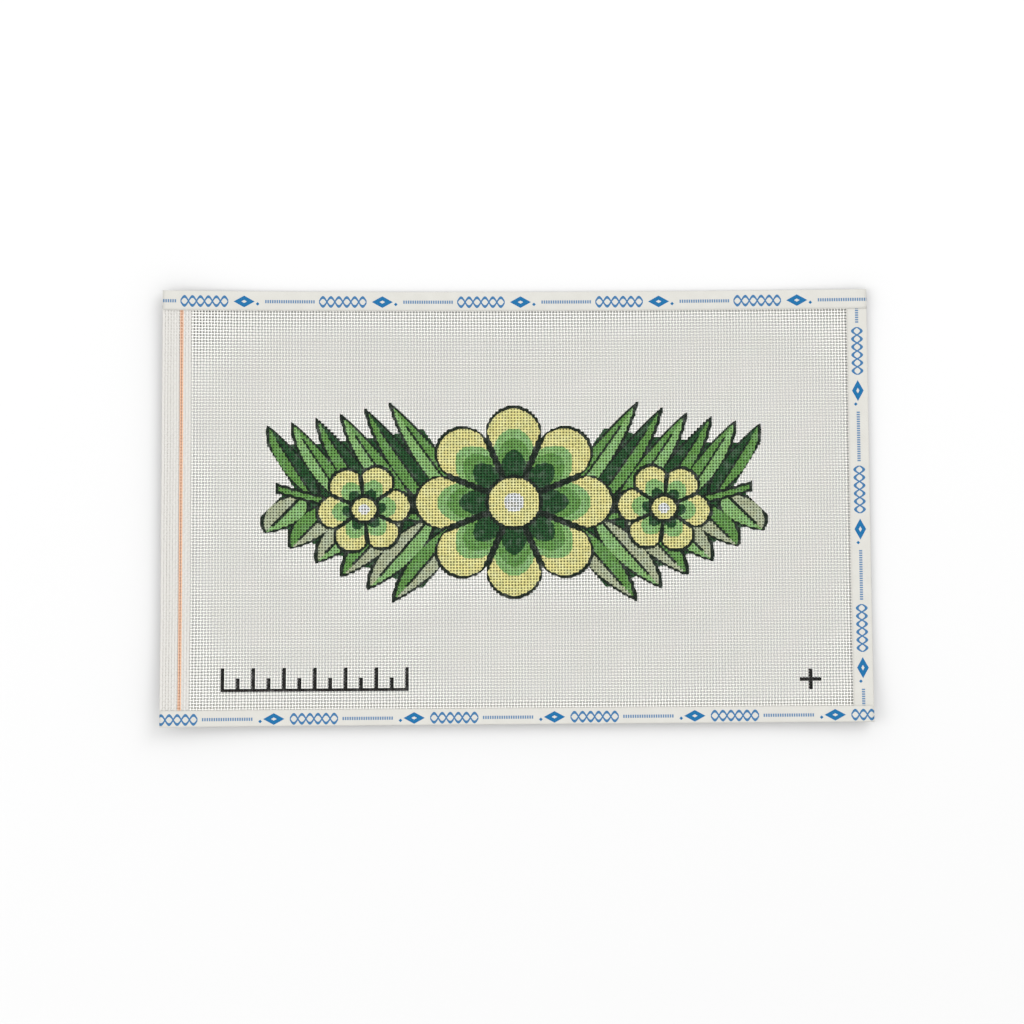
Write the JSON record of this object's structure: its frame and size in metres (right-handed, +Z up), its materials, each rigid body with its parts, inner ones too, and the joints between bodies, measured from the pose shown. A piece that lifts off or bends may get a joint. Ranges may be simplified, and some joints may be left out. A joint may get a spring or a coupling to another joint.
{
  "type": "needlepoint canvas",
  "caption": "Rectangular open-mesh needlepoint canvas with a painted leaf design, a selvedge with a marker yarn, and binding tape folded over its cut edges.",
  "frame": {"origin": "centre of the bounding box at the level of the surface that the canvas lies on", "axes": "+X to the right along the width, +Y to the top edge of the painted design, +Z up out of the painted face"},
  "size_m": [0.4642, 0.2848, 0.0137],
  "materials": {
    "canvas": "stiffened cotton threads, partly painted",
    "marker_yarn": "dyed cotton yarn",
    "tape": "matt crepe tape with a plain blue print"
  },
  "bodies": {
    "root": {"canvas": "canvas", "marker_yarn": "marker_yarn", "tape_right": "tape", "tape_top": "tape", "tape_bottom": "tape"}
  },
  "joints": []
}
